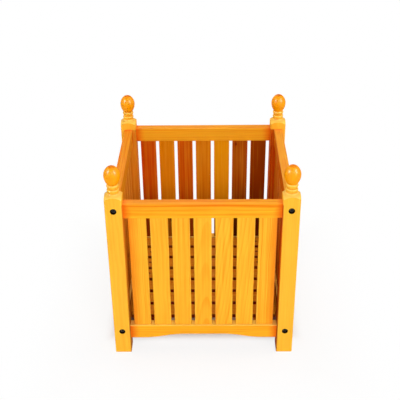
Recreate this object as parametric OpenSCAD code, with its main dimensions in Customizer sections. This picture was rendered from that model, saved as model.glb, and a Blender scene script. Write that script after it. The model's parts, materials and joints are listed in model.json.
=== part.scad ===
// Square wooden planter box on four turned corner posts.
// Two glued frames, front and back, are bolted through their posts into two side panels.
// A slatted base panel lies loose on a cleat at each side.
// Millimetres, Z up, front towards -Y, origin on the ground under the middle of the box.

/* [Overall] */
// Outside width across the posts
planter_w = 400; // [300:5:600]
// Outside depth across the posts
planter_d = 400; // [300:5:600]
// Height of a post's square part, measured at the middle of a face
body_h = 405; // [300:5:600]
// Height of the bottom rails above the ground
ground_gap = 36; // [20:1:80]
// How far the top rails lie below the shoulders of the posts
top_rail_drop = 18; // [8:1:40]

/* [Posts] */
// Side of a corner post's square section
post_s = 36; // [30:1:44]
// Radius of the long corners of a post
post_round = 2.5; // [1:0.5:4]
// Radius of the edge round a post's foot
foot_round = 2.5; // [1:0.5:4]
// How much lower the turned shoulder lies at a post's corners than at the middle of a face
shoulder_fall = 7; // [3:0.5:9]
// Radius of the hollow curve where the neck meets the shoulder
cove_r = 5; // [1:0.5:6]
// Diameter of the turned neck between the beads
neck_d = 22.4; // [18:0.2:24]
// Largest diameter of the two turned beads
bead_d = 25.2; // [23:0.2:28]
// Height of the lower bead
lower_bead_h = 7.6; // [4:0.2:9]
// Height of the upper bead
upper_bead_h = 8.6; // [4:0.2:10]
// Height of the neck between the shoulder and the lower bead
lower_neck_h = 3; // [1:0.2:8]
// Height of the neck between the two beads
upper_neck_h = 2; // [1:0.2:8]

/* [Ball finials] */
// Largest diameter of a ball
ball_d = 34; // [30:1:50]
// Height of a ball above its seat on the upper bead
ball_h = 40.3; // [34:0.1:60]
// Height of the widest part of a ball above its seat
ball_widest = 19; // [12:0.5:24]
// Radius of the cap at the top of a ball
ball_cap_r = 14; // [8:0.5:14.5]
// Diameter of the small flat that turning leaves at the top of a ball
ball_top_d = 1; // [0.6:0.2:4]
// Diameter of the flat that a ball stands on
ball_seat_d = 21.4; // [16:0.2:24]
// Diameter of the tenon under a ball
tenon_d = 10; // [6:0.5:12]
// Length of the tenon under a ball
tenon_l = 18; // [10:1:25]

/* [Rails] */
// Height of a rail
rail_h = 35; // [29:1:70]
// Thickness of a rail
rail_t = 20; // [16:1:28]
// Radius of the long edges of a rail
rail_round = 2; // [0.5:0.5:4]
// Height of the shaped arch under a bottom rail
arch_rise = 10; // [3:0.5:12]
// Straight edge of a bottom rail between a post and the arch
arch_inset = 29; // [10:1:60]
// Length of the ogee at each end of an arch
ogee_l = 94; // [24:1:110]

/* [Slats] */
// Slats in each panel
slat_count = 7; // [3:1:7]
// Gap between two slats
slat_gap = 7.9; // [2:0.1:12]
// Thickness of a slat
slat_t = 10; // [6:0.5:12]
// Radius of the long edges of a slat
slat_round = 1.2; // [0.4:0.2:2]
// Gap between a post and the slat next to it
end_gap = 9; // [2:0.5:20]
// Depth of the mortise that takes the end of a slat
mortise_d = 4; // [3:0.5:5]

/* [Base panel] */
// Boards in the base panel
board_count = 7; // [4:1:8]
// Gap between two base boards
board_gap = 10; // [4:0.5:15]
// Thickness of a base board
board_t = 10; // [8:0.5:15]
// How far the top of the base lies below the top of the bottom rails
base_drop = 1; // [0:0.5:5]
// Gap left open between the front rail and the first base board
base_front_gap = 20.5; // [5:0.5:40]
// Width of the two battens under the boards
batten_w = 40; // [20:1:60]
// Thickness of the battens
batten_t = 22; // [21:0.5:30]
// How far the battens stop short of the panel's front and back edges
batten_inset = 10; // [2:1:30]
// Width and height of the cleats that carry the base
cleat_s = 15; // [15:1:22]

/* [Fasteners] */
// Diameter of the frame bolts
bolt_d = 6; // [5:1:8]
// Length of a frame bolt under its head
bolt_l = 60; // [50:5:80]
// Diameter of a frame bolt's head
head_d = 10; // [9:0.5:13]
// Height of a frame bolt's head
head_h = 6; // [4:0.5:8]
// Width across flats of the hexagon socket in a head
socket_af = 5; // [4:0.5:6]
// Depth of the hexagon socket
socket_depth = 3; // [2:0.5:4]
// Diameter of the counterbore that sinks a head
counterbore_d = 13; // [11:0.5:16]
// Depth of the counterbore
counterbore_depth = 10; // [7:0.5:14]
// Depth of the upper bolts below the top edge of the top rails
upper_bolt_drop = 13.5; // [10:0.5:20]
// Depth of the lower bolts below the top edge of the bottom rails
lower_bolt_drop = 10.5; // [10:0.5:20]
// Diameter of a barrel nut
nut_d = 10; // [8:0.5:11]
// Length of a barrel nut
nut_l = 14; // [10:1:15]
// Distance of a barrel nut from the end of its rail
nut_from_end = 25; // [15:1:30]
// Diameter of the dowels in the front and back frames
dowel_d = 8; // [5:1:8]
// Length of a dowel
dowel_l = 30; // [20:1:40]
// How far a dowel goes into its post
dowel_in_post = 12; // [8:1:14]
// Height between a rail's two dowels
dowel_spacing = 15; // [10:1:20]
// Diameter of a base screw
screw_d = 3.5; // [3:0.5:4]
// Diameter of a base screw's countersunk head
screw_head_d = 7; // [6:0.5:8]
// Length of a base screw
screw_l = 30; // [25:1:30]
// Distance of a cleat's screws from its ends
cleat_screw_inset = 16; // [10:1:30]

/* [Clearances] */
// Gap round a dowel, tenon, nut, screw or slat end in its hole
fit_gap = 0.15; // [0.05:0.05:0.4]
// Gap round a bolt in its hole
bolt_gap = 0.4; // [0.2:0.1:1]
// Space left at the bottom of a blind hole or mortise
end_space = 0.5; // [0.2:0.1:1.5]
// Gap round the base panel
base_gap = 1; // [0.5:0.5:4]

/* [Hidden] */
$fn = 96;

// Colours of the stained wood and the metal
POST_COLOUR = [0.98, 0.73, 0.25];
BALL_COLOUR = [0.97, 0.58, 0.12];
RAIL_COLOUR = [0.97, 0.64, 0.16];
SLAT_COLOUR = [0.98, 0.70, 0.22];
BASE_COLOUR = [0.82, 0.50, 0.16];
DOWEL_COLOUR = [0.87, 0.72, 0.50];
BOLT_COLOUR = [0.08, 0.08, 0.09];
ZINC_COLOUR = [0.72, 0.73, 0.74];

// How far a cut runs past a face, so that it leaves no skin
cut = 1;
// Least wood between a dowel and a bolt hole, and between a dowel and a mortise
bolt_wall = 2;
mortise_wall = 1;
// Straight rim and length of the cone of a base screw's head, and its cross recess
screw_rim = 0.4;
screw_cone_h = (screw_head_d - screw_d) / 2 + screw_rim;
recess_w = 1;
recess_l = 4;
recess_depth = 1.5;
// Width of the screwdriver slot in a barrel nut
nut_slot_w = 1.2;
// Steps along a dome
arc_steps = 12;

// Corners, sides and heights that the pieces share
post_x = (planter_w - post_s) / 2;
post_y = (planter_d - post_s) / 2;
clear_w = planter_w - 2 * post_s;
clear_d = planter_d - 2 * post_s;
top_rail_z = body_h - top_rail_drop - rail_h;
bottom_rail_top = ground_gap + rail_h;
upper_bolt_z = top_rail_z + rail_h - upper_bolt_drop;
lower_bolt_z = bottom_rail_top - lower_bolt_drop;

// Turned top of a post, from the shoulder up
face_rise = (pow(post_s, 2) / (4 * shoulder_fall) + shoulder_fall) / 2;
shoulder_r = sqrt(pow(face_rise, 2) + pow(post_s / 2, 2));
dome_z = body_h - face_rise;
dome_edge = post_s / sqrt(2);
neck_z = dome_z + sqrt(pow(shoulder_r, 2) - pow(neck_d / 2, 2));
lower_bead_z = neck_z + lower_neck_h;
upper_bead_z = lower_bead_z + lower_bead_h + upper_neck_h;
seat_z = upper_bead_z + upper_bead_h;

// Slats and dowels
width_slat_w = slat_width(clear_w);
depth_slat_w = slat_width(clear_d);
dowel_reach = min(dowel_in_post, (post_s - bolt_d) / 2 - bolt_wall);
dowel_room = rail_h - 2 * (mortise_d + end_space + fit_gap + mortise_wall) - dowel_d;
dowel_offset = min(dowel_spacing, dowel_room) / 2;

// Radius of the two arcs that make an ogee
ogee_r = (pow(ogee_l, 2) + pow(arch_rise, 2)) / (4 * arch_rise);

// Base panel
base_top = bottom_rail_top - base_drop;
base_back = post_y - rail_t / 2 - base_gap;
base_front = -post_y + rail_t / 2 + base_front_gap;
board_w = (base_back - base_front - (board_count - 1) * board_gap) / board_count;
board_pitch = board_w + board_gap;
board_l = clear_w - 2 * base_gap;
cleat_x = post_x - rail_t / 2 - cleat_s / 2;
cleat_z = base_top - board_t - cleat_s / 2;
cleat_l = clear_d - 2 * (nut_from_end + nut_d);
cleat_screws = [cleat_screw_inset - cleat_l / 2, cleat_l / 2 - cleat_screw_inset];
batten_x = cleat_x - cleat_s / 2 - 2 * base_gap - batten_w / 2;

corners = [["front_left", -1, -1], ["front_right", 1, -1], ["back_left", -1, 1], ["back_right", 1, 1]];
across = [["front", -1], ["back", 1]];
along = [["left", -1], ["right", 1]];
sides = ["front", "back", "left", "right"];

function slat_width(clear) = (clear - 2 * end_gap - (slat_count - 1) * slat_gap) / slat_count;
function slat_pos(clear, i) = -clear / 2 + end_gap + (i - 0.5) * slat_width(clear) + (i - 1) * slat_gap;
function board_y(i) = base_front + board_w / 2 + (i - 1) * board_pitch;

// Rectangle with round corners, made of squares and circles so that the corners stay true arcs
module round_rect(w, h, r) {
    square([w - 2 * r, h], center = true);
    square([w, h - 2 * r], center = true);
    for (x = [-1, 1], y = [-1, 1])
        translate([x * (w / 2 - r), y * (h / 2 - r)]) circle(r);
}

// Bar along X with round long edges
module bar(length, thick, height, r) {
    rotate([90, 0, 90]) linear_extrude(length, center = true) round_rect(thick, height, r);
}

// Hole along X, open to -X at x = 0
module hole_x(d, depth) {
    translate([-cut, 0, 0]) rotate([0, 90, 0]) cylinder(d = d, h = depth + cut);
}

// Outline of the square post seen from the side, round at the foot
module post_side_outline() {
    translate([-post_s / 2, foot_round]) square([post_s, body_h + shoulder_r]);
    translate([-post_s / 2 + foot_round, 0]) square([post_s - 2 * foot_round, foot_round + cut]);
    for (x = [-1, 1])
        translate([x * (post_s / 2 - foot_round), foot_round]) circle(foot_round);
}

// Dome that the square section is cut to at its shoulder
module shoulder_blank() {
    rotate_extrude() polygon(concat(
        [[0, 0], [dome_edge, 0]],
        [for (i = [0 : arc_steps])
            let (r = dome_edge + (neck_d / 2 - dome_edge) * i / arc_steps)
            [r, dome_z + sqrt(pow(shoulder_r, 2) - r * r)]],
        [[0, neck_z]]
    ));
}

// Hollow curve between the neck and the shoulder, touching both
module cove() {
    x = neck_d / 2 + cove_r;
    z = sqrt(pow(shoulder_r + cove_r, 2) - x * x);
    touch = shoulder_r / (shoulder_r + cove_r);
    rotate_extrude() translate([0, dome_z]) difference() {
        polygon([[0, z * touch - cut], [x * touch - cut, z * touch - cut], [x * touch, z * touch],
            [x, z], [0, z]]);
        translate([x, z]) circle(cove_r);
    }
}

module bead(z, h) {
    rotate_extrude() union() {
        translate([(bead_d - h) / 2, z + h / 2]) circle(d = h);
        translate([0, z]) square([(bead_d - h) / 2, h]);
    }
}

module turned_neck() {
    cove();
    translate([0, 0, neck_z - cut]) cylinder(d = neck_d, h = upper_bead_z - neck_z + 2 * cut);
    bead(lower_bead_z, lower_bead_h);
    bead(upper_bead_z, upper_bead_h);
}

// Post at its own axis; its outer faces look to -X and -Y
module post_blank() {
    intersection() {
        linear_extrude(body_h + shoulder_r) round_rect(post_s, post_s, post_round);
        rotate([90, 0, 0]) linear_extrude(2 * post_s, center = true) post_side_outline();
        rotate([90, 0, 90]) linear_extrude(2 * post_s, center = true) post_side_outline();
        shoulder_blank();
    }
    turned_neck();
}

// Post for the front left corner at the origin of its own axis
module drilled_post() {
    difference() {
        post_blank();
        for (z = [upper_bolt_z, lower_bolt_z]) {
            translate([0, -post_s / 2, z]) rotate([0, 0, 90]) hole_x(counterbore_d, counterbore_depth);
            translate([0, -post_s / 2, z]) rotate([0, 0, 90]) hole_x(bolt_d + 2 * bolt_gap, post_s + cut);
        }
        for (z = [top_rail_z, ground_gap], s = [-1, 1])
            translate([post_s / 2, 0, z + rail_h / 2 + s * dowel_offset])
                mirror([1, 0, 0]) hole_x(dowel_d + 2 * fit_gap, dowel_reach + end_space);
        translate([0, 0, seat_z - tenon_l - end_space])
            cylinder(d = tenon_d + 2 * fit_gap, h = tenon_l + end_space + cut);
    }
}

module at_corner(x, y) {
    translate([x * post_x, y * post_y, 0])
        mirror([x > 0 ? 1 : 0, 0, 0]) mirror([0, y > 0 ? 1 : 0, 0]) children();
}

module corner_post(x, y) {
    color(POST_COLOUR) at_corner(x, y) drilled_post();
}

// Part of a circle between two heights, on the outer side of the axis
module arc_piece(x, z, r, low, high) {
    intersection() {
        translate([x, z]) circle(r);
        translate([0, low]) square([ball_d, high - low]);
    }
}

// Half outline of a ball: a cap above, cut off by the small flat, and a flatter arc on each side of the
// widest part
module ball_outline() {
    r = ball_d / 2;
    rise = ball_h - ball_widest - ball_cap_r;
    upper = (r * r + rise * rise - ball_cap_r * ball_cap_r) / (2 * (r - ball_cap_r));
    lower = (pow(r - ball_seat_d / 2, 2) + pow(ball_widest, 2)) / (2 * r - ball_seat_d);
    meet = ball_widest + rise * upper / (upper - ball_cap_r);
    arc_piece(r - lower, ball_widest, lower, 0, ball_widest);
    arc_piece(r - upper, ball_widest, upper, ball_widest, meet);
    top = ball_widest + rise + sqrt(pow(ball_cap_r, 2) - pow(ball_top_d / 2, 2));
    arc_piece(0, ball_widest + rise, ball_cap_r, meet, top);
}

module ball_finial(x, y) {
    color(BALL_COLOUR) at_corner(x, y) translate([0, 0, seat_z]) {
        rotate_extrude() ball_outline();
        translate([0, 0, -tenon_l]) cylinder(d = tenon_d, h = tenon_l + cut);
    }
}

// Mortises for a row of slats, in a rail along X; up is 1 in a bottom rail and -1 in a top rail
module mortises(clear, up) {
    for (i = [1 : slat_count])
        translate([slat_pos(clear, i), 0, up * rail_h / 2])
            cube([slat_width(clear) + 2 * fit_gap, slat_t + 2 * fit_gap, 2 * mortise_depth(up)],
                center = true);
}

// A slat stands on the bottom of its lower mortise and has a little space in the upper one
function mortise_depth(up) = up > 0 ? mortise_d : mortise_d + end_space;

// Outline of the space under the arch: its edge turns up on one arc, turns level on another,
// runs straight, and comes down the same way
module arch_outline(clear) {
    half = clear / 2 - arch_inset;
    translate([ogee_l - half, -cut]) square([2 * (half - ogee_l), arch_rise + cut]);
    for (x = [0, 1])
        mirror([x, 0]) {
            difference() {
                translate([-half, -cut]) square([ogee_l / 2, arch_rise / 2 + cut]);
                translate([-half, ogee_r]) circle(ogee_r);
            }
            intersection() {
                translate([ogee_l / 2 - half, -cut]) square([ogee_l / 2, arch_rise + 2 * cut]);
                translate([ogee_l - half, arch_rise - ogee_r]) circle(ogee_r);
            }
        }
}

// What rounding takes off a corner at the origin of wood that lies towards -X and -Y
module corner_waste() {
    translate([-rail_round, -rail_round]) difference() {
        square(rail_round + cut);
        circle(rail_round);
    }
}

// What rounding takes off the edges of the arch on the +Y side
module arch_edge_waste(clear) {
    half = clear / 2 - arch_inset;
    turn = asin(ogee_l / 2 / ogee_r);
    translate([ogee_l - half, rail_t / 2, arch_rise]) rotate([90, 0, 90])
        linear_extrude(2 * (half - ogee_l)) mirror([0, 1]) corner_waste();
    for (x = [0, 1])
        mirror([x, 0, 0]) {
            translate([-half, 0, ogee_r]) rotate([90, 0, 0]) rotate([0, 0, -90])
                rotate_extrude(angle = turn) translate([ogee_r, -rail_t / 2])
                    mirror([0, 1]) corner_waste();
            translate([ogee_l - half, 0, arch_rise - ogee_r]) rotate([90, 0, 0]) rotate([0, 0, 90])
                rotate_extrude(angle = turn) translate([ogee_r, -rail_t / 2])
                    mirror([1, 0]) mirror([0, 1]) corner_waste();
        }
}

// Rail along X at the origin, with its mortises and, in a bottom rail, its arch
module rail_blank(clear, up) {
    difference() {
        bar(clear, rail_t, rail_h, rail_round);
        mortises(clear, up);
        if (up > 0)
            translate([0, 0, -rail_h / 2]) {
                rotate([90, 0, 0]) linear_extrude(2 * rail_t, center = true) arch_outline(clear);
                arch_edge_waste(clear);
                mirror([0, 1, 0]) arch_edge_waste(clear);
            }
    }
}

// Rail of the front or back frame, with dowel holes in its ends
module frame_rail(y, z, up) {
    color(RAIL_COLOUR) translate([0, y * post_y, z + rail_h / 2]) difference() {
        rail_blank(clear_w, up);
        for (x = [0, 1], s = [-1, 1])
            mirror([x, 0, 0]) translate([-clear_w / 2, 0, s * dowel_offset])
                hole_x(dowel_d + 2 * fit_gap, dowel_l - dowel_reach + end_space);
    }
}

// Rail of a side panel, with a bolt hole in each end and a cross hole for each barrel nut
module side_rail(x, z, up, bolt_z) {
    reach = bolt_l - post_s + counterbore_depth;
    color(RAIL_COLOUR) translate([x * post_x, 0, z + rail_h / 2]) difference() {
        rotate([0, 0, x * 90]) rail_blank(clear_d, up);
        for (s = [0, 1])
            mirror([0, s, 0]) translate([0, -clear_d / 2, bolt_z - z - rail_h / 2]) {
                rotate([0, 0, 90]) hole_x(bolt_d + 2 * bolt_gap, reach + end_space);
                translate([-x * rail_t / 2, nut_from_end, 0]) mirror([x > 0 ? 0 : 1, 0, 0])
                    hole_x(nut_d + 2 * fit_gap, (rail_t + nut_l) / 2 + fit_gap);
            }
    }
}

module slat_blank(width) {
    translate([0, 0, bottom_rail_top - mortise_d])
        linear_extrude(top_rail_z + mortise_d - bottom_rail_top + mortise_d)
            round_rect(width, slat_t, slat_round);
}

module frame_slat(y, i) {
    color(SLAT_COLOUR) translate([slat_pos(clear_w, i), y * post_y, 0]) slat_blank(width_slat_w);
}

module side_slat(x, i) {
    color(SLAT_COLOUR) translate([x * post_x, slat_pos(clear_d, i), 0])
        rotate([0, 0, 90]) slat_blank(depth_slat_w);
}

// Countersunk screw pointing down from the origin
module screw() {
    difference() {
        rotate_extrude() polygon([
            [0, 0], [screw_head_d / 2, 0], [screw_head_d / 2, -screw_rim], [screw_d / 2, -screw_cone_h],
            [screw_d / 2, -screw_l + screw_d], [0, -screw_l]
        ]);
        for (a = [0, 90])
            rotate([0, 0, a]) cube([recess_l, recess_w, 2 * recess_depth], center = true);
    }
}

// Hole for a countersunk screw, pointing down from the origin
module screw_hole() {
    rotate_extrude() polygon([
        [0, cut], [screw_head_d / 2 + fit_gap, cut], [screw_head_d / 2 + fit_gap, -screw_rim],
        [screw_d / 2 + fit_gap, -screw_cone_h], [screw_d / 2 + fit_gap, -screw_l - end_space],
        [0, -screw_l - end_space]
    ]);
}

// Children placed at every screw that holds a board to a batten
module at_board_screws(boards) {
    for (i = boards, x = [-1, 1])
        translate([x * batten_x, board_y(i), base_top]) children();
}

// Children placed at every screw that holds one cleat to its rail
module at_cleat_screws(x) {
    for (s = cleat_screws)
        translate([x * (cleat_x - cleat_s / 2), s, cleat_z]) rotate([0, -x * 90, 0]) children();
}

module base_board(i) {
    color(BASE_COLOUR) difference() {
        translate([0, board_y(i), base_top - board_t / 2]) bar(board_l, board_w, board_t, slat_round);
        at_board_screws([i]) screw_hole();
    }
}

module base_batten(x) {
    length = base_back - base_front - 2 * batten_inset;
    color(BASE_COLOUR) difference() {
        translate([x * batten_x, (base_back + base_front) / 2, base_top - board_t - batten_t / 2])
            rotate([0, 0, 90]) bar(length, batten_w, batten_t, slat_round);
        at_board_screws([1 : board_count]) screw_hole();
    }
}

module base_cleat(x) {
    color(BASE_COLOUR) difference() {
        translate([x * cleat_x, 0, cleat_z]) rotate([0, 0, 90])
            bar(cleat_l, cleat_s, cleat_s, slat_round);
        at_cleat_screws(x) screw_hole();
    }
}

// Bottom rail of a side panel, drilled for the cleat's screws
module side_bottom_rail(x) {
    color(RAIL_COLOUR) difference() {
        side_rail(x, ground_gap, 1, lower_bolt_z);
        at_cleat_screws(x) screw_hole();
    }
}

// Bolt pointing along +Y, its head's underside at the origin
module frame_bolt() {
    rotate([-90, 0, 0]) difference() {
        union() {
            translate([0, 0, -cut]) cylinder(d = bolt_d, h = bolt_l + cut);
            translate([0, 0, -head_h]) cylinder(d = head_d, h = head_h);
        }
        translate([0, 0, -head_h - cut])
            cylinder(d = socket_af / cos(30), h = socket_depth + cut, $fn = 6);
    }
}

module frame_bolts() {
    color(BOLT_COLOUR) for (c = corners, z = [upper_bolt_z, lower_bolt_z])
        at_corner(c[1], c[2]) translate([0, -post_s / 2 + counterbore_depth, z]) frame_bolt();
}

// Cross drilled nut with a screwdriver slot in the end that shows
module barrel_nut() {
    difference() {
        rotate([0, 90, 0]) cylinder(d = nut_d, h = nut_l, center = true);
        rotate([90, 0, 0]) cylinder(d = bolt_d + 2 * fit_gap, h = 2 * nut_d, center = true);
        translate([nut_l / 2, 0, 0]) cube([2 * cut, 2 * nut_d, nut_slot_w], center = true);
    }
}

module barrel_nuts() {
    color(ZINC_COLOUR) for (c = corners, z = [upper_bolt_z, lower_bolt_z])
        at_corner(c[1], c[2]) translate([0, post_s / 2 + nut_from_end, z]) barrel_nut();
}

module frame_dowels() {
    color(DOWEL_COLOUR) for (c = corners, z = [top_rail_z, ground_gap], s = [-1, 1])
        at_corner(c[1], c[2])
            translate([post_s / 2 - dowel_reach, 0, z + rail_h / 2 + s * dowel_offset])
                rotate([0, 90, 0]) cylinder(d = dowel_d, h = dowel_l);
}

module base_screws() {
    color(ZINC_COLOUR) {
        at_board_screws([1 : board_count]) screw();
        for (x = [-1, 1])
            at_cleat_screws(x) screw();
    }
}

for (c = corners) {
    corner_post(c[1], c[2]);
    ball_finial(c[1], c[2]);
}
for (s = across) {
    frame_rail(s[1], top_rail_z, -1);
    frame_rail(s[1], ground_gap, 1);
    for (i = [1 : slat_count])
        frame_slat(s[1], i);
}
for (s = along) {
    side_rail(s[1], top_rail_z, -1, upper_bolt_z);
    side_bottom_rail(s[1]);
    for (i = [1 : slat_count])
        side_slat(s[1], i);
    base_batten(s[1]);
    base_cleat(s[1]);
}
for (i = [1 : board_count])
    base_board(i);
frame_bolts();
barrel_nuts();
frame_dowels();
base_screws();
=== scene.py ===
"""Looks of the square planter: honey stained softwood, black bolts and zinc plated fittings."""
import json
import math
import random

import bmesh
import bpy
from mathutils import Matrix, Vector


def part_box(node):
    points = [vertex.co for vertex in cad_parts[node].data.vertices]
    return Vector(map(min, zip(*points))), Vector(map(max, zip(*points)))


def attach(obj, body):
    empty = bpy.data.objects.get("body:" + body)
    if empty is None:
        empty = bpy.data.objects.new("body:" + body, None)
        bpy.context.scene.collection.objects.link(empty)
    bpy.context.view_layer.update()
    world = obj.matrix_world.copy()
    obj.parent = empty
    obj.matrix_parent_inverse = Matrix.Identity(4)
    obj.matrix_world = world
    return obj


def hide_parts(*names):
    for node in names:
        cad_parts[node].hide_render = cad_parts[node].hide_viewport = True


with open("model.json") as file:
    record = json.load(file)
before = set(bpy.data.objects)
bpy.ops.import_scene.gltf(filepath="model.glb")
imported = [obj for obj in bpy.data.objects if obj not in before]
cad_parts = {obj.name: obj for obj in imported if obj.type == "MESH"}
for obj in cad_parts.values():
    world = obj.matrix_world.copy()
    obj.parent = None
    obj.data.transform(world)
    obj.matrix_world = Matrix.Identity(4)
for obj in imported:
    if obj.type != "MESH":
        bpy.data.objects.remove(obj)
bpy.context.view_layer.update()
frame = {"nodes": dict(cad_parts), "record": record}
nodes = frame["nodes"]
scene = bpy.context.scene
MM = 0.001
UP = (0, 0, 1)


# Camera, fitted to the straight edges of the photographed planter: angles in degrees, its lens in pixels

CAMERA_TILT, CAMERA_YAW, CAMERA_ROLL = 30.19, -0.76, 0.64
CAMERA_PLACE = (0.01343, -1.56038, 1.19229)
LENS_PIXELS, IMAGE_PIXELS = 779.41, 400
SENSOR = 36


def camera_axes():
    """The ways to the right, down and forward in the picture."""
    tilt, yaw, roll = (math.radians(angle) for angle in (CAMERA_TILT, CAMERA_YAW, CAMERA_ROLL))
    forward = Vector((math.sin(yaw) * math.cos(tilt), math.cos(yaw) * math.cos(tilt), -math.sin(tilt)))
    level_right = forward.cross(Vector(UP)).normalized()
    level_down = forward.cross(level_right)
    right = level_right * math.cos(roll) + level_down * math.sin(roll)
    down = level_down * math.cos(roll) - level_right * math.sin(roll)
    return right, down, forward


def make_camera():
    data = bpy.data.cameras.new("camera")
    data.sensor_width = SENSOR
    data.sensor_fit = "HORIZONTAL"
    data.lens = LENS_PIXELS * SENSOR / IMAGE_PIXELS
    data.clip_start, data.clip_end = 0.05, 30
    camera = bpy.data.objects.new("camera", data)
    scene.collection.objects.link(camera)
    right, down, forward = camera_axes()
    placed = Matrix((right, -down, -forward)).transposed().to_4x4()
    placed.translation = Vector(CAMERA_PLACE)
    camera.matrix_world = placed
    scene.camera = camera


# Shader graphs

class Graph:
    """Writes shader nodes. Each call adds one node and returns its result."""

    def __init__(self, tree):
        self.tree = tree

    def add(self, kind, *inputs, **settings):
        node = self.tree.nodes.new("ShaderNode" + kind)
        for name, value in settings.items():
            setattr(node, name, value)
        for socket, value in zip(node.inputs, inputs):
            self.put(socket, value)
        return node

    def put(self, socket, value):
        if isinstance(value, bpy.types.NodeSocket):
            self.tree.links.new(value, socket)
        else:
            socket.default_value = value

    def math(self, operation, *inputs):
        return self.add("Math", *inputs, operation=operation).outputs[0]

    def times(self, a, b):
        return self.math("MULTIPLY", a, b)

    def plus(self, a, b):
        return self.math("ADD", a, b)

    def minus(self, a, b):
        return self.math("SUBTRACT", a, b)

    def larger(self, a, b):
        return self.math("MAXIMUM", a, b)

    def vector(self, operation, *inputs):
        node = self.add("VectorMath", *inputs, operation=operation)
        return node.outputs["Value" if operation in ("LENGTH", "DOT_PRODUCT") else "Vector"]

    def split(self, vector):
        return self.add("SeparateXYZ", vector).outputs[:]

    def join(self, x, y, z):
        return self.add("CombineXYZ", x, y, z).outputs[0]

    def grey(self, value):
        return self.join(value, value, value)

    def step(self, value, low, high):
        """0 at low, 1 at high, and smooth between them. It falls where low is above high."""
        node = self.add("MapRange", value, low, high, 0.0, 1.0, interpolation_type="SMOOTHSTEP")
        return node.outputs[0]

    def noise(self, place, changes, detail=2.0, seed=0.0):
        """Noise from 0 to 1. changes is how often it changes in a metre along each axis."""
        node = self.add("TexNoise", noise_dimensions="4D")
        stretched = self.vector("MULTIPLY", place, changes)
        for name, value in (("Vector", stretched), ("W", seed), ("Scale", 1.0), ("Detail", detail)):
            self.put(node.inputs[name], value)
        return node.outputs["Fac"]

    def mix(self, factor, a, b, blend="MIX"):
        node = self.add("Mix", data_type="RGBA", blend_type=blend)
        for name, value in (("Factor_Float", factor), ("A_Color", a), ("B_Color", b)):
            self.put(next(s for s in node.inputs if s.identifier == name), value)
        return next(s for s in node.outputs if s.identifier == "Result_Color")


def colour(red, green, blue):
    """A colour given as on the screen, 0 to 255, for a shader socket."""
    def linear(c):
        c /= 255
        return c / 12.92 if c <= 0.04045 else ((c + 0.055) / 1.055) ** 2.4
    return linear(red), linear(green), linear(blue), 1.0


# Stained softwood

WOOD_INPUTS = [
    ("Place", "Vector"), ("Facing", "Vector"), ("Half", "Vector"), ("Seed", "Float"),
    ("Pith", "Vector"), ("Lean", "Vector"), ("Ring", "Float"), ("Contrast", "Float"),
    ("Light", "Color"), ("Late", "Color"), ("Deep", "Color"), ("Depth", "Float"),
    ("Edge shade", "Vector"), ("Groove shade", "Float"), ("Inside", "Color"), ("Inside shade depth", "Float"),
    ("Knot", "Vector"), ("Knot size", "Float"),
]
WOOD_OUTPUTS = [("Color", "Color"), ("Roughness", "Float"), ("Height", "Float")]

# How often each figure of the wood changes in a metre, twice across the grain and once along it
FIBRES, STREAKS, CLOUDS = (1500, 1500, 28), (230, 230, 4), (16, 16, 7)
PORES, WANDER, RIPPLE, RAGGED = (2600, 2600, 160), (9, 9, 5), (120, 120, 22), (60, 60, 12)
# How far the pith wanders, the ripple shifts the rings and the edge of the painted edge shade wavers, in
# metres
WANDER_REACH, RIPPLE_REACH, RAGGED_REACH = 0.016, 0.0011, 0.007
# Where the late wood of a ring thickens and where it ends, from 0 to 1 across the ring
LATE_RISE, LATE_END = (0.2, 0.88), (1.0, 0.92)
# Painted shade at the low side, the high side and the ends, beside the posts: where it begins and where it is
# full, in metres
LOW_EDGE_SHADE, HIGH_EDGE_SHADE, END_EDGE_SHADE = (0.028, 0.0), (0.021, 0.0), (0.026, 0.001)
# A knot is long along the grain. It pushes the rings out by some of its radii, and less the further they are
KNOT_SHAPE, KNOT_PUSH, KNOT_FADE = (1, 1, 0.62), 5.0, -0.55
# How strongly each figure shows in the tone
LATE_SHARE, CLOUD_SHARE, STREAK_SHARE, FIBRE_SHARE, PORE_SHARE = 0.6, 0.6, 1.5, 0.26, 0.05
WORN_SHARE, END_GRAIN_SHARE, KNOT_SHARE, KNOT_RIM_SHARE = 0.15, 0.6, 0.85, 0.7
# Roughness of plain wood, and what each figure adds to it, or takes off in late wood
PLAIN_ROUGH, FIBRE_ROUGH, END_GRAIN_ROUGH, LATE_SMOOTH = 0.34, 0.14, 0.15, 0.05
# Heights of the relief, in metres
LATE_RELIEF, FIBRE_RELIEF, CLOUD_RELIEF, PORE_RELIEF = 0.00009, 0.00012, 0.0008, 0.00005
# Painted shade: inner faces darken from the first of these heights down to the second, in metres
LOW_SHADE_FROM, LOW_SHADE_FULL = 0.26, 0.08
WORN_TONE, END_GRAIN_FILTER = colour(255, 220, 130), colour(220, 150, 110)
KNOT_TONE, KNOT_RIM_TONE = colour(140, 52, 8), colour(84, 28, 6)
PAINTED_SHEEN_TONE, BORE_SHADE_TONE = colour(255, 232, 118), colour(32, 11, 3)
VARNISH_IOR = 2.2


def knot_distance(g, given):
    """Distance from the middle line of the knot, in knot radii, and how far the knot pushes the rings out."""
    away = g.vector("SUBTRACT", given["Place"], given["Knot"])
    outward = g.vector("MULTIPLY", g.vector("SUBTRACT", given["Knot"], given["Pith"]), (1, 1, 0))
    way = g.vector("NORMALIZE", outward)
    along = g.vector("DOT_PRODUCT", away, way)
    off = g.vector("SUBTRACT", away, g.vector("MULTIPLY", way, g.grey(along)))
    far = g.math("DIVIDE", g.vector("LENGTH", g.vector("MULTIPLY", off, KNOT_SHAPE)),
                 g.larger(given["Knot size"], 1e-5))
    push = g.times(g.math("EXPONENT", g.times(far, KNOT_FADE)), g.times(given["Knot size"], KNOT_PUSH))
    return far, push


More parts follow.
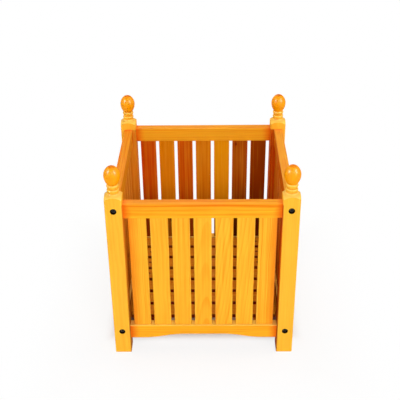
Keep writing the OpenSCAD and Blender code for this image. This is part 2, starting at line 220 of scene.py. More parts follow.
def pith_distance(g, given):
    """Distance from a pith that leans and wanders slowly along the grain."""
    place, seed = given["Place"], given["Seed"]
    along = g.split(place)[2]
    other_seed = g.plus(seed, 7.3)
    both = g.join(g.noise(place, WANDER, seed=seed), g.noise(place, WANDER, seed=other_seed), 0.0)
    wander = g.vector("SUBTRACT", both, (0.5, 0.5, 0.0))
    centre = g.vector("ADD", given["Pith"], g.vector("MULTIPLY", given["Lean"], g.grey(along)))
    wandered = g.vector("MULTIPLY", wander, (WANDER_REACH, WANDER_REACH, 0))
    from_pith = g.vector("ADD", g.vector("SUBTRACT", place, centre), wandered)
    return g.vector("LENGTH", g.vector("MULTIPLY", from_pith, (1, 1, 0)))


def growth_rings(g, given, push):
    """Late wood of the growth rings, 0 to 1. It thickens slowly and ends sharply in each ring."""
    seed = given["Seed"]
    ripple = g.noise(given["Place"], RIPPLE, detail=1.0, seed=seed)
    radius = g.minus(pith_distance(g, given), push)
    ring = g.math("DIVIDE", g.plus(radius, g.times(ripple, RIPPLE_REACH)), given["Ring"])
    unequal = g.noise(g.join(g.times(ring, 0.45), seed, 0.0), (1, 1, 1), detail=1.0)
    phase = g.math("FRACT", g.plus(ring, g.times(unequal, 2.2)))
    late = g.times(g.step(phase, *LATE_RISE), g.step(phase, *LATE_END))
    strength = g.step(g.noise(g.join(g.times(ring, 0.9), seed, 5.0), (1, 1, 1), detail=0.0), 0.3, 0.75)
    return g.times(late, g.plus(0.35, g.times(strength, 0.65)))


def painted_edge_and_groove_shade(g, given):
    """Painted shade: at the sides and ends that Edge shade names, beside the posts, and in turned grooves."""
    side = g.split(given["Place"])[0]
    half = g.split(given["Half"])[0]
    reach = g.split(g.vector("SUBTRACT", given["Half"], g.vector("ABSOLUTE", given["Place"])))
    low, high, end = g.split(given["Edge shade"])
    ragged = g.times(g.noise(given["Place"], RAGGED, seed=given["Seed"]), RAGGED_REACH)
    near_low = g.step(g.plus(g.plus(half, side), ragged), *LOW_EDGE_SHADE)
    near_high = g.step(g.plus(g.minus(half, side), ragged), *HIGH_EDGE_SHADE)
    near_end = g.step(g.plus(reach[2], ragged), *END_EDGE_SHADE)
    edge_shades = g.larger(g.larger(g.times(near_low, low), g.times(near_high, high)), g.times(near_end, end))
    arris = g.larger(reach[0], reach[1])
    return g.larger(edge_shades, given["Groove shade"]), arris


def stained_colour(g, given, late, varied, painted_shade_amount):
    """Growth rings and streaks under a stain that stands deeper in some places than in others, and painted
    shade beside the posts, in grooves and on inner faces.
    """
    shade = g.times(g.plus(g.times(late, LATE_SHARE), varied), given["Contrast"])
    tint = g.mix(g.plus(0.2, shade), given["Light"], given["Late"])
    depth = g.plus(given["Depth"], g.times(g.times(varied, given["Depth"]), 0.9))
    tint = g.mix(g.larger(depth, g.times(painted_shade_amount, 0.9)), tint, given["Deep"])
    inside = g.times(given["Inside shade depth"], g.plus(1.0, g.times(varied, 0.7)))
    return g.mix(g.math("MINIMUM", inside, 1.0), tint, given["Inside"])


def build_wood_group():
    """Stained softwood in a piece's own frame: z runs along the grain, and lengths are in metres."""
    tree = bpy.data.node_groups.new("stained_softwood", "ShaderNodeTree")
    for name, kind in WOOD_INPUTS:
        tree.interface.new_socket(name, in_out="INPUT", socket_type="NodeSocket" + kind)
    for name, kind in WOOD_OUTPUTS:
        tree.interface.new_socket(name, in_out="OUTPUT", socket_type="NodeSocket" + kind)
    g = Graph(tree)
    given = tree.nodes.new("NodeGroupInput").outputs
    place, seed = given["Place"], given["Seed"]
    knot_far, push = knot_distance(g, given)
    late = growth_rings(g, given, push)
    painted_shade_amount, arris = painted_edge_and_groove_shade(g, given)

    fibre = g.noise(place, FIBRES, detail=3.0, seed=seed)
    streak = g.noise(place, STREAKS, seed=seed)
    cloud = g.noise(place, CLOUDS, detail=3.0, seed=g.plus(seed, 3.1))
    pore = g.step(g.noise(place, PORES, detail=0.0, seed=seed), 0.66, 0.78)
    end_grain = g.step(g.math("ABSOLUTE", g.split(given["Facing"])[2]), 0.75, 0.95)
    has_knot = g.step(given["Knot size"], 0.0, 1e-4)
    knot_core = g.times(g.step(knot_far, 1.05, 0.85), has_knot)
    knot_rim = g.times(g.times(g.step(knot_far, 0.8, 1.0), g.step(knot_far, 1.35, 1.05)), has_knot)

    # Colour: the stained rings and the painted shade, then fibres, wear, end grain and the knot
    clouds, streaks = g.times(g.minus(cloud, 0.5), CLOUD_SHARE), g.times(g.minus(streak, 0.5), STREAK_SHARE)
    varied = g.plus(clouds, streaks)
    tint = stained_colour(g, given, late, varied, painted_shade_amount)
    fine = g.plus(1.0, g.times(g.minus(fibre, 0.5), FIBRE_SHARE))
    fine = g.minus(fine, g.times(pore, PORE_SHARE))
    tint = g.mix(1.0, tint, g.grey(fine), "MULTIPLY")
    worn = g.times(g.step(arris, 0.0018, 0.0003), g.step(cloud, 0.35, 0.65))
    tint = g.mix(g.times(worn, WORN_SHARE), tint, WORN_TONE)
    filtered = g.mix(1.0, tint, END_GRAIN_FILTER, "MULTIPLY")
    tint = g.mix(g.times(end_grain, END_GRAIN_SHARE), tint, filtered)
    tint = g.mix(g.times(knot_core, KNOT_SHARE), tint, KNOT_TONE)
    tint = g.mix(g.times(knot_rim, KNOT_RIM_SHARE), tint, KNOT_RIM_TONE)

    rough = g.plus(PLAIN_ROUGH, g.times(fibre, FIBRE_ROUGH))
    rough = g.plus(rough, g.times(end_grain, END_GRAIN_ROUGH))
    rough = g.minus(rough, g.times(late, LATE_SMOOTH))
    height = g.plus(g.times(late, LATE_RELIEF), g.times(fibre, FIBRE_RELIEF))
    height = g.plus(height, g.times(cloud, CLOUD_RELIEF))
    height = g.minus(height, g.times(pore, PORE_RELIEF))

    made = tree.nodes.new("NodeGroupOutput").inputs
    for name, value in (("Color", tint), ("Roughness", rough), ("Height", height)):
        g.put(made[name], value)
    return tree


WOOD = build_wood_group()


def new_material(name):
    material = bpy.data.materials.new(name)
    material.use_nodes = True
    return material, Graph(material.node_tree), material.node_tree.nodes["Principled BSDF"]


def put_bump(g, shader, height):
    """Relief in true metres."""
    bump = g.add("Bump")
    g.put(bump.inputs["Strength"], 1.0)
    g.put(bump.inputs["Distance"], 1.0)
    g.put(bump.inputs["Height"], height)
    g.put(shader.inputs["Normal"], bump.outputs["Normal"])


def inward_facing(g, spot, normal, look):
    """How far a face looks inwards, between the side rails and below their tops."""
    facing = 0.0
    between = g.step(g.math("ABSOLUTE", spot[0]), look["within"], look["within"] - MM)
    for way in look["inward"]:
        toward = g.vector("DOT_PRODUCT", normal, way)
        facing = g.larger(facing, g.times(toward, between) if way[1] else toward)
    return g.times(facing, g.step(spot[2], look["covered"] + 2 * MM, look["covered"] - 2 * MM))


def stain_depth(g, spot, normal, top, look):
    """Depth of the stain, deeper near the top of the piece, and painted shade on the faces that the look
    names.
    """
    depth = look["depth"]
    for way, more in look["faces"]:
        facing = g.larger(g.vector("DOT_PRODUCT", normal, way), 0.0)
        depth = g.plus(depth, g.times(facing, more))
    if look["upper"]:
        depth = g.plus(depth, g.times(g.step(spot[2], top - 0.022, top - 0.002), look["upper"]))
    return depth


def painted_groove_shade(g, spot, grooves):
    """Painted shade in the turned grooves: how dark they are."""
    groove = 0.0
    for z, width, strength in grooves:
        off = g.math("ABSOLUTE", g.minus(spot[2], z))
        groove = g.larger(groove, g.times(g.step(off, width, 0.0), strength))
    return groove


def bore_shade(g, spot, bores):
    """1 on the walls of the counterbores, which are painted in shade, and 0 elsewhere."""
    shade = 0.0
    for x, z, radius in bores:
        off = g.vector("LENGTH", g.join(g.minus(spot[0], x), g.minus(spot[2], z), 0.0))
        shade = g.larger(shade, g.step(off, radius + 0.0004, radius + 0.0001))
    return shade


def wood_material(name, axis, look, grooves=(), bores=()):
    """The piece's own wood. axis is the world axis of its grain, and look says what sets it apart."""
    low, high = (Vector(v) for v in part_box(name))
    centre, half = (low + high) / 2, (high - low) / 2

    def turned(v):
        return v[(axis + 1) % 3], v[(axis + 2) % 3], v[axis]

    material, g, shader = new_material(name + "_wood")
    where = g.add("TexCoord")
    spot = g.split(where.outputs["Object"])
    place = g.split(g.vector("SUBTRACT", where.outputs["Object"], centre))
    normal = where.outputs["Normal"]
    facing = inward_facing(g, spot, normal, look)
    wood = material.node_tree.nodes.new("ShaderNodeGroup")
    wood.node_tree = WOOD
    given = {
        "Place": g.join(*turned(place)), "Facing": g.join(*turned(g.split(normal))), "Half": turned(half),
        "Seed": look["seed"], "Pith": (*look["pith"], 0.0), "Lean": (*look["lean"], 0.0),
        "Ring": look["ring"] * MM, "Contrast": look["contrast"],
        "Light": look["light"], "Late": look["late"], "Deep": look["deep"],
        "Depth": stain_depth(g, spot, normal, high[2], look), "Edge shade": look["edge_shade"],
        "Groove shade": painted_groove_shade(g, spot, grooves), "Knot": look["knot"][:3], "Knot size": look["knot"][3],
        "Inside": look["inside"], "Inside shade depth": g.times(facing, look["inside_shade_depth"]),
    }
    for key, value in given.items():
        g.put(wood.inputs[key], value)

    # Painted shade: the wood is darker low down inside the box. Painted sheen: paler where an upper face
    # catches the light
    low_shade = g.minus(1.0, g.times(g.step(spot[2], LOW_SHADE_FROM, LOW_SHADE_FULL), g.times(facing, look["low_shade"])))
    tint = g.mix(1.0, wood.outputs["Color"], g.grey(low_shade), "MULTIPLY")
    if look["crest"]:
        above = g.step(spot[2], look["painted_sheen_from"], look["painted_sheen_from"] + MM)
        crest = g.times(g.step(g.split(normal)[2], 0.12, 0.6), above)
        tint = g.mix(g.times(crest, look["crest"]), tint, PAINTED_SHEEN_TONE)
    # Painted shade on the walls of the counterbores
    if bores:
        tint = g.mix(bore_shade(g, spot, bores), tint, BORE_SHADE_TONE)
    g.put(shader.inputs["Base Color"], tint)
    g.put(shader.inputs["Roughness"], wood.outputs["Roughness"])
    put_bump(g, shader, wood.outputs["Height"])

    # The gloss is that of the varnish alone
    shader.inputs["Specular IOR Level"].default_value = 0.0
    shader.inputs["Coat Weight"].default_value = look["coat"]
    shader.inputs["Coat Roughness"].default_value = look["coat_rough"]
    shader.inputs["Coat IOR"].default_value = VARNISH_IOR
    shader.inputs["Coat Tint"].default_value = look["coat_tint"]
    return material


# Tones of each kind of piece: early wood, late wood, and wood where the stain stands deepest, which is also
# the tone of the painted shade
TONES = {
    "post": (colour(253, 191, 54), colour(246, 158, 30), colour(240, 112, 4)),
    "ball": (colour(254, 168, 0), colour(246, 142, 0), colour(228, 96, 0)),
    "rail": (colour(252, 184, 40), colour(238, 130, 12), colour(236, 96, 8)),
    "slat": (colour(253, 188, 52), colour(240, 146, 24), colour(238, 112, 8)),
    "base": (colour(244, 168, 44), colour(230, 130, 20), colour(138, 38, 0)),
    "dowel": (colour(228, 190, 132), colour(205, 160, 100), colour(180, 120, 60)),
}
# The tone of the painted shade on inner faces
INSIDE_SHADE_TONE = colour(205, 76, 0)
NO_KNOT = (9.0, 9.0, 9.0, 0.0)
# What holds for a piece unless its kind or the piece itself says otherwise:
# - contrast of the rings; depth of the stain, more of it near the top (upper), and painted shade on faces
#   (way, depth)
# - edge_shade, painted shade at the low side, the high side and the ends
# - coat, its roughness and its tint: the varnish
# - inward, the ways in which inner faces look, below covered and between within, in metres; the tone of their
#   painted shade, how deep it is, and how much darker it gets at the bottom (low_shade)
# - crest, how much paler the faces that look up are above the height painted_sheen_from: a painted sheen
USUAL_LOOK = {
    "contrast": 1.0, "depth": 0.0, "faces": [], "upper": 0.0, "edge_shade": (0.0, 0.0, 0.0), "knot": NO_KNOT,
    "coat": 0.02, "coat_rough": 0.13, "coat_tint": colour(255, 255, 255),
    "inward": [], "covered": 1.0, "within": 1.0, "low_shade": 0.46, "inside": INSIDE_SHADE_TONE, "inside_shade_depth": 0.6,
    "crest": 0.0, "painted_sheen_from": 0.0,
}
# Depth of the painted shade on the inner faces of the rails, by side
RAIL_INSIDE_SHADE = {"front": 0.0, "back": 0.0, "left": 0.3, "right": 0.7}
# How much paler the upper faces of the rails are, a painted sheen: the top ones by side, and the bottom ones
TOP_RAIL_PAINTED_SHEEN = {"front": 0.09, "back": 0.1, "left": 0.05, "right": 0.15}
BOTTOM_RAIL_PAINTED_SHEEN = 0.45
# The height from which the upper faces of a post are paler, a painted sheen, in metres
POST_PAINTED_SHEEN_FROM = 0.3955
# Slats whose inner faces differ: the depth of the painted shade there, and its tone
INNER_FACE_SHADE = {
    "back_slat_1": (0.85, INSIDE_SHADE_TONE), "back_slat_2": (0.85, colour(228, 134, 0)),
    "back_slat_3": (0.85, colour(206, 80, 0)), "back_slat_4": (0.85, colour(217, 119, 0)),
    "back_slat_5": (0.85, colour(242, 160, 4)), "back_slat_6": (0.85, colour(164, 62, 0)),
    "back_slat_7": (1.0, colour(150, 62, 0)),
}
# Figure of single pieces: where the pith lies from the middle, in mm, its lean, ring width and contrast
FIGURES = {
    "front_slat_1": (70, 20, (0.01, 0.0), 3.2, 0.8), "front_slat_2": (-30, 50, (0.02, 0.02), 4.0, 0.7),
    "front_slat_3": (80, 10, (0.005, 0.0), 2.8, 1.0), "front_slat_4": (6, 34, (0.0, 0.06), 4.2, 0.8),
    "front_slat_5": (-60, 14, (0.13, 0.0), 8.2, 1.0), "front_slat_6": (-64, 22, (0.11, 0.0), 7.4, 0.8),
    "front_slat_7": (-70, 10, (0.01, 0.0), 3.4, 1.0),
    "front_top_rail": (26, -64, (0.0, 0.014), 9.0, 1.25),
    "front_bottom_rail": (30, -70, (0.0, 0.006), 5.2, 0.7),
    "back_top_rail": (-20, 66, (0.0, -0.01), 6.4, 0.6),
}
# Knots: where they are across and along the piece from its middle, and their radius, in mm
KNOTS = {
    "back_slat_6": (-10, 130, 2.4), "left_slat_3": (4, -52, 3.4), "right_slat_5": (-6, 64, 3.0),
    "back_slat_2": (7, -88, 3.6),
}
# How far behind a knot the pith lies, in metres
KNOT_PITH = 0.05
# What else is particular to single pieces, among it more painted shade low down, on the battens and beside
# the posts
OWN_LOOKS = {
    "back_slat_6": {"low_shade": 0.8}, "front_top_rail": {"upper": 0.36, "faces": [(UP, 0.1)]},
    "left_base_batten": {"depth": 1.0}, "right_base_batten": {"depth": 0.3},
    "front_slat_1": {"edge_shade": (0.72, 0.0, 0.0)}, "front_slat_7": {"edge_shade": (0.0, 0.8, 0.0)},
}


def grain_axis(name):
    if "rail" in name:
        return 0 if name.startswith(("front", "back")) else 1
    if name.startswith("base_board") or name == "frame_dowels":
        return 0
    if "batten" in name or "cleat" in name:
        return 1
    return 2


def kind_of(name):
    for word in ("post", "ball", "rail", "slat", "dowel"):
        if word in name:
            return word
    return "base"


def inward(name):
    """The ways towards the middle of the planter from the sides that a piece's name gives."""
    ways = {"front": (0, 1, 0), "back": (0, -1, 0), "left": (1, 0, 0), "right": (-1, 0, 0)}
    sides = name.split("_")[:2 if kind_of(name) == "post" else 1]
    return [ways[side] for side in sides if side in ways]


def rail_look(name):
    side, level, _ = name.split("_")
    top = level == "top"
    # Painted shade on the top faces of the top rails and at the rail ends beside the posts, and a painted
    # sheen on upper faces
    return {
        "inward": inward(name), "faces": [(UP, 0.5 if top else 0.0)], "edge_shade": (0.0, 0.0, 1.0),
        "crest": TOP_RAIL_PAINTED_SHEEN[side] if top else BOTTOM_RAIL_PAINTED_SHEEN, "inside_shade_depth": RAIL_INSIDE_SHADE[side],
    }


def slat_look(name):
    # Painted shade on the inner faces, lighter on the left slats
    usual = (0.4 if name.startswith("left") else 0.65, INSIDE_SHADE_TONE)
    depth, tone = INNER_FACE_SHADE.get(name, usual)
    return {"inward": inward(name), "inside_shade_depth": depth, "inside": tone}


def post_look(name):
    # Painted shade on the inner faces below the top rails, lighter on the left posts, and a painted sheen on
    # the shoulders
    return {
        "inward": inward(name), "inside_shade_depth": 0.5 if "left" in name else 0.95,
        "covered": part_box("front_top_rail")[1][2], "within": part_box("right_top_rail")[1][0],
        "contrast": 0.5, "coat": 0.07, "coat_rough": 0.24, "crest": 0.38, "painted_sheen_from": POST_PAINTED_SHEEN_FROM,
    }


def ball_look(name):
    return {"contrast": 0.5, "coat": 0.1, "coat_rough": 0.3, "coat_tint": colour(255, 214, 120)}


def base_look(name):
    # Painted shade on the front and back edges of the base boards, and on the pieces under them
    if name.startswith("base_board"):
        return {"faces": [((0, -1, 0), 1.0), ((0, 1, 0), 1.0)]}
    return {"depth": 0.35}


KIND_LOOKS = {"rail": rail_look, "slat": slat_look, "post": post_look, "ball": ball_look, "base": base_look}


def figure_look(name):
    """The cut and the knot of a piece that has its own."""
    look = {}
    if name in FIGURES:
        across, behind, lean, ring, contrast = FIGURES[name]
        look.update(pith=(across * MM, behind * MM), lean=lean, ring=ring, contrast=contrast)
    if name in KNOTS:
        across, along, radius = (size * MM for size in KNOTS[name])
        in_front = name.startswith(("front", "back"))
        look["pith"] = (across, KNOT_PITH) if in_front else (KNOT_PITH, across)
        look["knot"] = (across, 0.0, along, radius) if in_front else (0.0, across, along, radius)
    return look


def wood_look(name, pick):
    """What the wood of a piece looks like: its cut, its tones and where its stain stands deeper."""
    kind = kind_of(name)
    light, late, deep = TONES[kind]
    angle, far = pick.uniform(0, 2 * math.pi), pick.uniform(0.035, 0.075)
    look = dict(USUAL_LOOK, light=light, late=late, deep=deep)
    look["seed"] = pick.uniform(0, 100)
    look["pith"] = (far * math.cos(angle), far * math.sin(angle))
    look["lean"] = (pick.uniform(-0.02, 0.02), pick.uniform(-0.02, 0.02))
    look["ring"] = pick.uniform(2.6, 4.2)
    if kind in KIND_LOOKS:
        look.update(KIND_LOOKS[kind](name))
    look.update(figure_look(name))
    look.update(OWN_LOOKS.get(name, {}))
    return look


# A post's turned grooves: how far below the top of its ball, how wide, in mm, and the strength of their
# painted shade
GROOVES = [(40.3, 1.3, 0.9), (49.9, 1.6, 0.7), (60.0, 2.4, 0.5)]


def turned_grooves(name):
    ball_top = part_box(name.replace("_post", "_ball_finial"))[1][2]
    return [(ball_top - drop * MM, width * MM, strength) for drop, width, strength in GROOVES]


# The counterbores of a post: how far below the tops of the rails, and their radius, in mm
UPPER_BOLT_DROP, LOWER_BOLT_DROP, COUNTERBORE_R = 13.5, 10.5, 6.5


def counterbores(name):
    low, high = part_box(name)
    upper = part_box("front_top_rail")[1][2] - UPPER_BOLT_DROP * MM
    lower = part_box("front_bottom_rail")[1][2] - LOWER_BOLT_DROP * MM
    return [((low[0] + high[0]) / 2, z, COUNTERBORE_R * MM) for z in (upper, lower)]


def finish(name, material):
    data = nodes[name].data
    data.materials.clear()
    data.materials.append(material)


WOOD_SEED = 12


def finish_wood():
    pick = random.Random(WOOD_SEED)
    for sub in frame["record"]["subparts"]:
        name = sub["node"]
        if sub["material_slot"] in ("bolt_steel", "zinc_steel"):
            continue
        is_post = kind_of(name) == "post"
        grooves, bores = (turned_grooves(name), counterbores(name)) if is_post else ((), ())
        finish(name, wood_material(name, grain_axis(name), wood_look(name, pick), grooves, bores))


# Metal

# How often the film and the machining marks change in a metre, and the height of the marks in metres
FILM_PATCHES, MARKS, MARK_RELIEF = (420, 420, 420), (5200, 5200, 5200), 0.00002
METAL_EDGE, EDGE_SHARE, PATCHY_ROUGH = (0.53, 0.62), 0.5, 0.12


def metal_material(name, tint, film, film_share, worn, metallic, rough, gloss=0.5):
    """Plated steel with a film in patches, fine machining marks, and plating worn off the edges."""
    material, g, shader = new_material(name)
    where = g.add("TexCoord").outputs["Object"]
    patches = g.noise(where, FILM_PATCHES, detail=4.0, seed=2.0)
    marks = g.noise(where, MARKS, seed=6.0)
    edge = g.step(g.add("NewGeometry").outputs["Pointiness"], *METAL_EDGE)
    shade = g.mix(g.times(g.step(patches, 0.3, 0.7), film_share), tint, film)
    shade = g.mix(g.times(edge, EDGE_SHARE), shade, worn)
    g.put(shader.inputs["Base Color"], shade)
    g.put(shader.inputs["Roughness"], g.plus(rough, g.times(g.plus(patches, marks), PATCHY_ROUGH)))
    put_bump(g, shader, g.times(marks, MARK_RELIEF))
    shader.inputs["Metallic"].default_value = metallic
    shader.inputs["Specular IOR Level"].default_value = gloss
    return material


# Detailed fittings. Each is turned about +Z, which points from its head to its tip

SIDES, RINGS_PER_TURN = 48, 6
FULL = 2 * math.pi
SHARP_ANGLE = math.radians(32)


def solids(name):
    """The points of each separate solid of a CAD node."""
    data = nodes[name].data
    spots = [tuple(round(c, 6) for c in v.co) for v in data.vertices]
    parent = {spot: spot for spot in spots}

    def root(spot):
        while parent[spot] != spot:
            parent[spot] = parent[parent[spot]]
            spot = parent[spot]
        return spot

    for face in data.polygons:
        first = root(spots[face.vertices[0]])
        for i in face.vertices[1:]:
            parent[root(spots[i])] = first
    groups = {}
    for spot in sorted(parent):
        groups.setdefault(root(spot), []).append(Vector(spot))
    return list(groups.values())


def fitting_place(points):
    """The matrix that puts a fitting's head at its wide end and its +Z along it."""
    low = Vector([min(p[i] for p in points) for i in range(3)])
    high = Vector([max(p[i] for p in points) for i in range(3)])
    axis = max(range(3), key=lambda i: high[i] - low[i])
    middle = (low + high) / 2

    def width(end):
        near = [p - middle for p in points if abs(p[axis] - end) < MM]
        return max(math.hypot(p[axis - 1], p[axis - 2]) for p in near)

    from_low = width(low[axis]) >= width(high[axis])
    along, across = Vector((0, 0, 0)), Vector((0, 0, 0))
    along[axis] = 1 if from_low else -1
    across[(axis + 1) % 3] = 1
    placed = Matrix((across, along.cross(across), along)).transposed().to_4x4()
    middle[axis] = low[axis] if from_low else high[axis]
    placed.translation = middle
    return placed


def ring_of_points(bm, place, height, radius):
    """One ring of a turned skin, or a single point where the radius is 0."""
    if radius == 0:
        return [bm.verts.new(place @ Vector((0, 0, height * MM)))]
    loop = []
    for i in range(SIDES):
        angle = FULL * i / SIDES
        r = (radius(angle) if callable(radius) else radius) * MM
        loop.append(bm.verts.new(place @ Vector((r * math.cos(angle), r * math.sin(angle), height * MM))))
    return loop


def turned_skin(bm, place, rings):
    """Joins rings into one skin. A ring is its height and a radius, or a radius for each angle, in mm."""
    loops = [ring_of_points(bm, place, height, radius) for height, radius in rings]
    for a, b in zip(loops, loops[1:]):
        for i in range(SIDES):
            j = (i + 1) % SIDES
            corners = [a[i % len(a)], a[j % len(a)], b[j % len(b)], b[i % len(b)]]
            bm.faces.new(list(dict.fromkeys(corners)))


def hexagon(across_flats):
    return lambda angle: across_flats / 2 / math.cos(angle % (FULL / 6) - FULL / 12)


def cross_slot(length, width):
    def radius(angle):
        off = abs((angle + FULL / 8) % (FULL / 4) - FULL / 8)
        return min(length / 2, width / 2 / max(math.sin(off), 1e-6))
    return radius


def ribbed(radius, depth):
    return lambda angle: radius - depth * (round(angle / FULL * SIDES) % 2)


def thread(start, end, pitch, core, crest, fade_in, fade_out):
    """Rings of a thread with its helix, which runs out over fade_in and fade_out mm at its ends."""
    def ring(height):
        full = min((height - start) / fade_in, (end - height) / fade_out, 1.0)

        def radius(angle):
            turn = (height / pitch - angle / FULL) % 1.0
            return core + (crest - core) * full * (1 - abs(2 * turn - 1))
        return height, radius
    steps = round((end - start) / pitch * RINGS_PER_TURN)
    return [ring(start + (end - start) * i / steps) for i in range(steps + 1)]


def bolt_rings():
    """A socket head bolt, M6 x 60, with a knurled head."""
    socket, knurl = hexagon(5), ribbed(4.95, 0.16)
    head = [(3.9, 0), (3.0, hexagon(4.9)), (0.35, socket), (0.0, hexagon(5.5)), (0.0, 4.3), (0.5, knurl),
            (5.5, knurl), (6.0, 4.6), (6.0, 3.3), (6.3, 2.95), (34.0, 2.95)]
    tip = [(65.2, 2.5), (66.0, 1.9), (66.0, 0)]
    return head + thread(35.0, 64.6, 1.0, 2.45, 2.97, 1.0, 1.0) + tip


def screw_rings():
    """A countersunk wood screw, 3.5 x 30, with a cross recess."""
    head = [(2.1, 0), (1.9, cross_slot(1.3, 0.5)), (0.0, cross_slot(3.9, 0.95)), (0.0, 3.3), (0.12, 3.46),
            (0.35, 3.46), (2.4, 1.32), (2.9, 1.22), (10.0, 1.22)]
    return head + thread(10.2, 27.0, 1.6, 1.08, 1.72, 1.2, 3.0) + [(28.6, 0.55), (30.0, 0)]


def dowel_rings():
    """A fluted dowel, 8 x 30, with chamfered ends."""
    rib = ribbed(3.98, 0.3)
    return [(0.0, 0), (0.0, 3.0), (1.2, rib), (28.8, rib), (30.0, 3.0), (30.0, 0)]


def detailed_fittings(node, piece_name, rings, material):
    """One piece that holds a detailed fitting in place of each solid of the node."""
    bm = bmesh.new()
    for points in solids(node):
        turned_skin(bm, fitting_place(points), rings)
    bmesh.ops.recalc_face_normals(bm, faces=bm.faces)
    data = bpy.data.meshes.new(piece_name)
    bm.to_mesh(data)
    bm.free()
    for face in data.polygons:
        face.use_smooth = True
    data.set_sharp_from_angle(angle=SHARP_ANGLE)
    data.materials.append(material)
    piece = bpy.data.objects.new(piece_name, data)
    scene.collection.objects.link(piece)
    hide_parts(node)
    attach(piece, "root")


def finish_fittings():
    black = metal_material("black_oxide", tint=colour(9, 9, 10), film=colour(18, 17, 16), film_share=0.6,
                           worn=colour(84, 82, 80), metallic=0.3, rough=0.3)
    zinc = metal_material("zinc_plate", tint=colour(150, 152, 156), film=colour(112, 114, 120),
                          film_share=0.6, worn=colour(170, 170, 172), metallic=1.0, rough=0.42)
    filmed = metal_material("stained_zinc_plate", tint=colour(190, 110, 30), film=colour(168, 82, 12),
                            film_share=0.9, worn=colour(196, 132, 60), metallic=0.0, rough=0.7, gloss=0.05)
    detailed_fittings("frame_bolts", "socket_head_bolts", bolt_rings(), black)
    detailed_fittings("base_screws", "cross_recess_screws", screw_rings(), filmed)
    detailed_fittings("frame_dowels", "fluted_dowels", dowel_rings(),
                      nodes["frame_dowels"].data.materials[0])
    finish("barrel_nuts", zinc)


make_camera()
finish_wood()
finish_fittings()


# Studio

FLOOR_REACH, FLOOR_HEIGHT = 12.0, -0.0002
FLOOR_TONE, SIDE_SHADE_TONE = (0.9, 0.9, 0.9, 1), colour(118, 86, 64)
# The shade under the side rails: its inner and outer edge, and its end, in metres from the middle
SHADE_INNER, SHADE_OUTER, SHADE_END = (0.1, 0.16), (0.2, 0.17), (0.19, 0.13)
# Where the floor turns nearly white to the eye, further out at the sides, and where it turns fully white
NEARLY_WHITE, FULLY_WHITE, WIDER_AT_SIDES = (0.115, 0.165), (0.2, 0.45), 0.07
NEAR_WHITENESS = 0.84
# How steeply a ray rises where the studio's walls end and where its ceiling begins
WALL_TOP, CEILING_FROM = 0.35, 0.7


def seen_directly(g):
    """1 for rays that show the background: from the camera, in a reflection or through glass."""
    ray = g.add("LightPath").outputs
    return g.larger(ray["Is Camera Ray"], g.larger(ray["Is Glossy Ray"], ray["Is Transmission Ray"]))


def floor_material():
    """White, with a soft shade under the side rails, and plain white to the eye away from the planter."""
    material, g, shader = new_material("floor_white")
    shader.inputs["Roughness"].default_value = 0.9
    shader.inputs["Specular IOR Level"].default_value = 0.1
    away = g.split(g.vector("ABSOLUTE", g.add("TexCoord").outputs["Object"]))
    under_rails = g.times(g.step(away[0], *SHADE_INNER), g.step(away[0], *SHADE_OUTER))
    under_rails = g.times(under_rails, g.step(away[1], *SHADE_END))
    g.put(shader.inputs["Base Color"], g.mix(under_rails, FLOOR_TONE, SIDE_SHADE_TONE))
    outside = g.step(g.larger(g.minus(away[0], WIDER_AT_SIDES), away[1]), *NEARLY_WHITE)
    far = g.step(g.larger(away[0], away[1]), *FULLY_WHITE)
    whiteness = g.times(outside, g.plus(NEAR_WHITENESS, g.times(far, 1 - NEAR_WHITENESS)))
    white = g.add("Emission", (1, 1, 1, 1), 1.0)
    blend = g.add("MixShader", g.times(whiteness, seen_directly(g)), shader.outputs[0], white.outputs[0])
    g.put(material.node_tree.nodes["Material Output"].inputs["Surface"], blend.outputs[0])
    return material


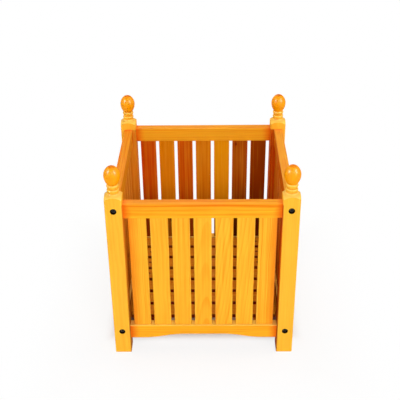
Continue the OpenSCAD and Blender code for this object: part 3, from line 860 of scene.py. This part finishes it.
def make_floor():
    data = bpy.data.meshes.new("floor")
    ways = ((-1, -1), (1, -1), (1, 1), (-1, 1))
    corners = [(x * FLOOR_REACH, y * FLOOR_REACH, FLOOR_HEIGHT) for x, y in ways]
    data.from_pydata(corners, [], [(0, 1, 2, 3)])
    floor = bpy.data.objects.new("floor", data)
    scene.collection.objects.link(floor)
    data.materials.append(floor_material())


def make_world(wall, ceiling):
    """A pale studio: walls near the horizon, and a dimmer ceiling. The background itself is white."""
    world = bpy.data.worlds.new("studio")
    scene.world = world
    world.use_nodes = True
    g = Graph(world.node_tree)
    seen = seen_directly(g)
    up = g.split(g.add("TexCoord").outputs["Generated"])[2]
    blend = g.add("MapRange", up, WALL_TOP, CEILING_FROM, wall, ceiling, interpolation_type="SMOOTHSTEP")
    glow = g.plus(g.times(blend.outputs[0], g.minus(1.0, seen)), seen)
    background = world.node_tree.nodes["Background"]
    background.inputs["Color"].default_value = (1, 1, 1, 1)
    g.put(background.inputs["Strength"], glow)


def make_lamp(name, place, aim, width, height, power):
    data = bpy.data.lights.new(name, "AREA")
    data.shape = "RECTANGLE"
    data.size, data.size_y = width, height
    data.energy = power
    lamp = bpy.data.objects.new(name, data)
    lamp.location = place
    lamp.rotation_euler = (Vector(aim) - lamp.location).to_track_quat("-Z", "Y").to_euler()
    lamp.visible_camera = False
    scene.collection.objects.link(lamp)
    return lamp


def make_highlight(name, place, width, height, power):
    """A softbox that shows only in the gloss of the finish."""
    make_lamp(name, place, (0, 0, 0.4), width, height, power).visible_diffuse = False


make_floor()
make_world(0.9, 0.15)
make_lamp("front_light", (0.4, -2.5, 2.1), (0, 0, 0.2), 1.8, 1.2, 46).visible_glossy = False
make_lamp("right_light", (1.35, 0.0, 1.95), (0, 0, 0.25), 0.5, 1.2, 8)
make_lamp("left_light", (-1.6, -0.14, 1.6), (0, 0, 0.25), 0.5, 0.5, 4)
make_lamp("back_light", (-0.6, 2.0, 1.5), (0, 0, 0.2), 1.4, 0.8, 10)
make_lamp("top_light", (0.0, -0.1, 2.6), (0, 0, 0.1), 0.8, 0.8, 7).visible_glossy = False
make_highlight("right_softbox", (1.87, -1.42, 1.64), 0.97, 1.6, 145)
make_highlight("left_softbox", (-1.66, -0.94, 1.37), 0.4, 0.4, 84)

scene.view_settings.view_transform = "Standard"
